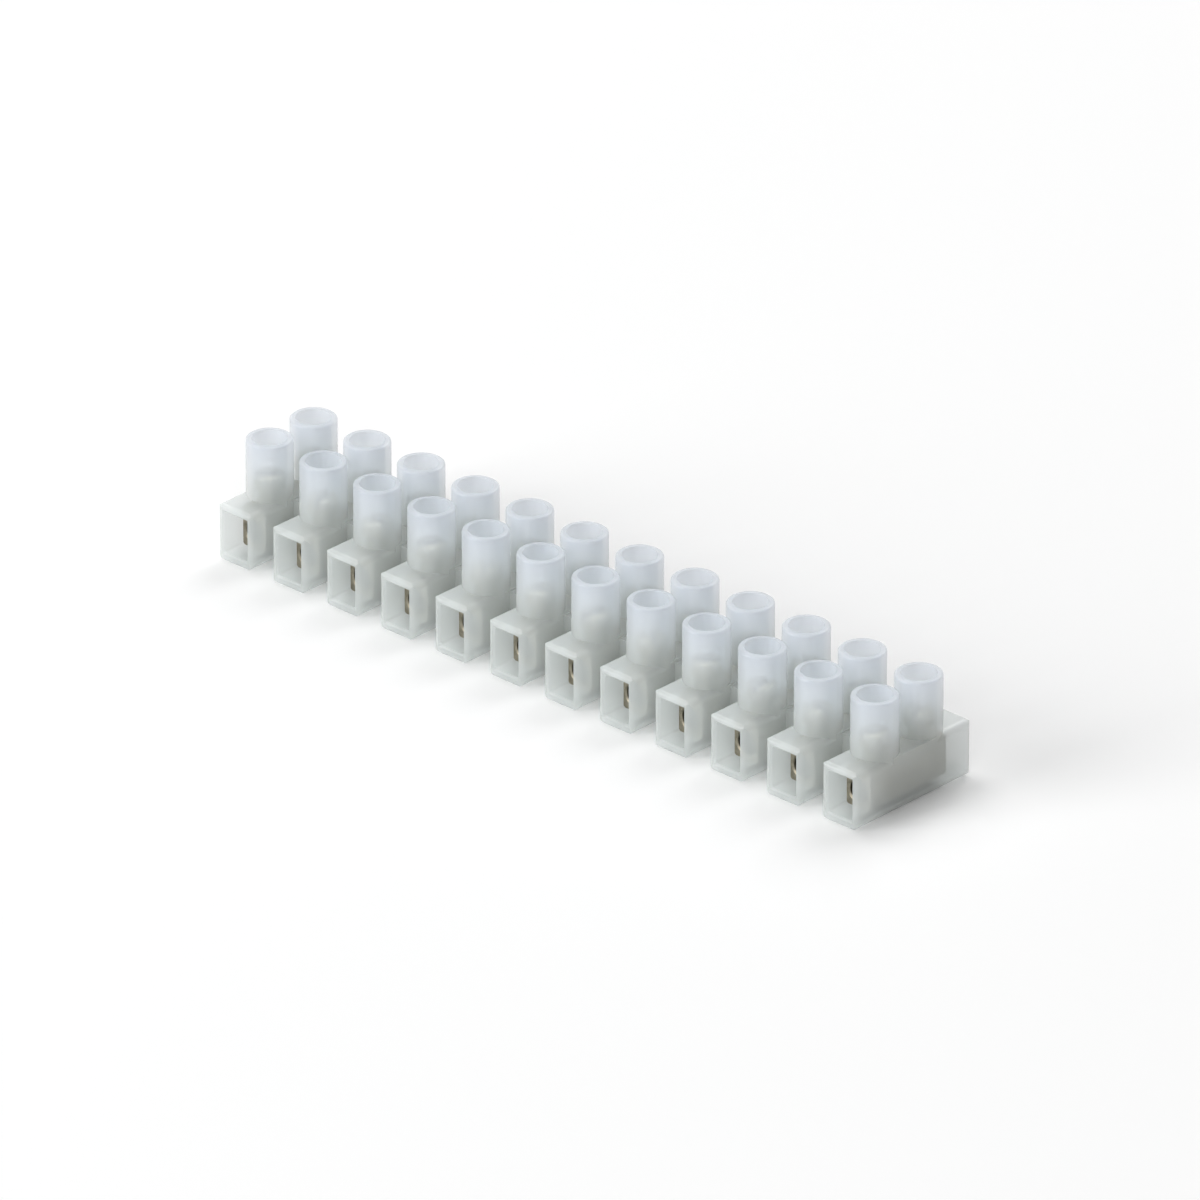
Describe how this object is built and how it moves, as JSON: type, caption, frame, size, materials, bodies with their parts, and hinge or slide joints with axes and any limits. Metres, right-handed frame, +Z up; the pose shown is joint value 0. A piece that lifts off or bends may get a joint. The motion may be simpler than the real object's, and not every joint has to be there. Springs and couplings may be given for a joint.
{
  "type": "terminal strip",
  "caption": "Milky translucent terminal strip: a row of wire tunnels with round screw towers over brass inserts and slotted clamping screws.",
  "frame": {"origin": "centre of the strip's footprint, on the plane it stands on", "axes": "+X along the row of poles, +Y from the front mouths to the rear mouths, +Z up through the screw towers"},
  "size_m": [0.1166, 0.0222, 0.0168],
  "materials": {
    "milky_plastic": "natural, lightly glossy moulded",
    "brass": "plain drawn",
    "plated_steel": "zinc plated"
  },
  "bodies": {
    "strip": {"housing": "milky_plastic", "brass_insert_01": "brass", "brass_insert_02": "brass", "brass_insert_03": "brass", "brass_insert_04": "brass", "brass_insert_05": "brass", "brass_insert_06": "brass", "brass_insert_07": "brass", "brass_insert_08": "brass", "brass_insert_09": "brass", "brass_insert_10": "brass", "brass_insert_11": "brass", "brass_insert_12": "brass"},
    "front_screw_01": {"front_screw_01": "plated_steel"},
    "front_screw_02": {"front_screw_02": "plated_steel"},
    "front_screw_03": {"front_screw_03": "plated_steel"},
    "front_screw_04": {"front_screw_04": "plated_steel"},
    "front_screw_05": {"front_screw_05": "plated_steel"},
    "front_screw_06": {"front_screw_06": "plated_steel"},
    "front_screw_07": {"front_screw_07": "plated_steel"},
    "front_screw_08": {"front_screw_08": "plated_steel"},
    "front_screw_09": {"front_screw_09": "plated_steel"},
    "front_screw_10": {"front_screw_10": "plated_steel"},
    "front_screw_11": {"front_screw_11": "plated_steel"},
    "front_screw_12": {"front_screw_12": "plated_steel"},
    "rear_screw_01": {"rear_screw_01": "plated_steel"},
    "rear_screw_02": {"rear_screw_02": "plated_steel"},
    "rear_screw_03": {"rear_screw_03": "plated_steel"},
    "rear_screw_04": {"rear_screw_04": "plated_steel"},
    "rear_screw_05": {"rear_screw_05": "plated_steel"},
    "rear_screw_06": {"rear_screw_06": "plated_steel"},
    "rear_screw_07": {"rear_screw_07": "plated_steel"},
    "rear_screw_08": {"rear_screw_08": "plated_steel"},
    "rear_screw_09": {"rear_screw_09": "plated_steel"},
    "rear_screw_10": {"rear_screw_10": "plated_steel"},
    "rear_screw_11": {"rear_screw_11": "plated_steel"},
    "rear_screw_12": {"rear_screw_12": "plated_steel"}
  },
  "joints": [
    {"name": "front_screw_01_travel", "type": "slide", "parent": "strip", "child": "front_screw_01", "axis": [0, 0, 1], "range_m": [-0.0022, 0.0006]},
    {"name": "front_screw_02_travel", "type": "slide", "parent": "strip", "child": "front_screw_02", "axis": [0, 0, 1], "range_m": [-0.0022, 0.0006]},
    {"name": "front_screw_03_travel", "type": "slide", "parent": "strip", "child": "front_screw_03", "axis": [0, 0, 1], "range_m": [-0.0022, 0.0006]},
    {"name": "front_screw_04_travel", "type": "slide", "parent": "strip", "child": "front_screw_04", "axis": [0, 0, 1], "range_m": [-0.0022, 0.0006]},
    {"name": "front_screw_05_travel", "type": "slide", "parent": "strip", "child": "front_screw_05", "axis": [0, 0, 1], "range_m": [-0.0022, 0.0006]},
    {"name": "front_screw_06_travel", "type": "slide", "parent": "strip", "child": "front_screw_06", "axis": [0, 0, 1], "range_m": [-0.0022, 0.0006]},
    {"name": "front_screw_07_travel", "type": "slide", "parent": "strip", "child": "front_screw_07", "axis": [0, 0, 1], "range_m": [-0.0022, 0.0006]},
    {"name": "front_screw_08_travel", "type": "slide", "parent": "strip", "child": "front_screw_08", "axis": [0, 0, 1], "range_m": [-0.0022, 0.0006]},
    {"name": "front_screw_09_travel", "type": "slide", "parent": "strip", "child": "front_screw_09", "axis": [0, 0, 1], "range_m": [-0.0022, 0.0006]},
    {"name": "front_screw_10_travel", "type": "slide", "parent": "strip", "child": "front_screw_10", "axis": [0, 0, 1], "range_m": [-0.0022, 0.0006]},
    {"name": "front_screw_11_travel", "type": "slide", "parent": "strip", "child": "front_screw_11", "axis": [0, 0, 1], "range_m": [-0.0022, 0.0006]},
    {"name": "front_screw_12_travel", "type": "slide", "parent": "strip", "child": "front_screw_12", "axis": [0, 0, 1], "range_m": [-0.0022, 0.0006]},
    {"name": "rear_screw_01_travel", "type": "slide", "parent": "strip", "child": "rear_screw_01", "axis": [0, 0, 1], "range_m": [-0.0022, 0.0006]},
    {"name": "rear_screw_02_travel", "type": "slide", "parent": "strip", "child": "rear_screw_02", "axis": [0, 0, 1], "range_m": [-0.0022, 0.0006]},
    {"name": "rear_screw_03_travel", "type": "slide", "parent": "strip", "child": "rear_screw_03", "axis": [0, 0, 1], "range_m": [-0.0022, 0.0006]},
    {"name": "rear_screw_04_travel", "type": "slide", "parent": "strip", "child": "rear_screw_04", "axis": [0, 0, 1], "range_m": [-0.0022, 0.0006]},
    {"name": "rear_screw_05_travel", "type": "slide", "parent": "strip", "child": "rear_screw_05", "axis": [0, 0, 1], "range_m": [-0.0022, 0.0006]},
    {"name": "rear_screw_06_travel", "type": "slide", "parent": "strip", "child": "rear_screw_06", "axis": [0, 0, 1], "range_m": [-0.0022, 0.0006]},
    {"name": "rear_screw_07_travel", "type": "slide", "parent": "strip", "child": "rear_screw_07", "axis": [0, 0, 1], "range_m": [-0.0022, 0.0006]},
    {"name": "rear_screw_08_travel", "type": "slide", "parent": "strip", "child": "rear_screw_08", "axis": [0, 0, 1], "range_m": [-0.0022, 0.0006]},
    {"name": "rear_screw_09_travel", "type": "slide", "parent": "strip", "child": "rear_screw_09", "axis": [0, 0, 1], "range_m": [-0.0022, 0.0006]},
    {"name": "rear_screw_10_travel", "type": "slide", "parent": "strip", "child": "rear_screw_10", "axis": [0, 0, 1], "range_m": [-0.0022, 0.0006]},
    {"name": "rear_screw_11_travel", "type": "slide", "parent": "strip", "child": "rear_screw_11", "axis": [0, 0, 1], "range_m": [-0.0022, 0.0006]},
    {"name": "rear_screw_12_travel", "type": "slide", "parent": "strip", "child": "rear_screw_12", "axis": [0, 0, 1], "range_m": [-0.0022, 0.0006]}
  ]
}
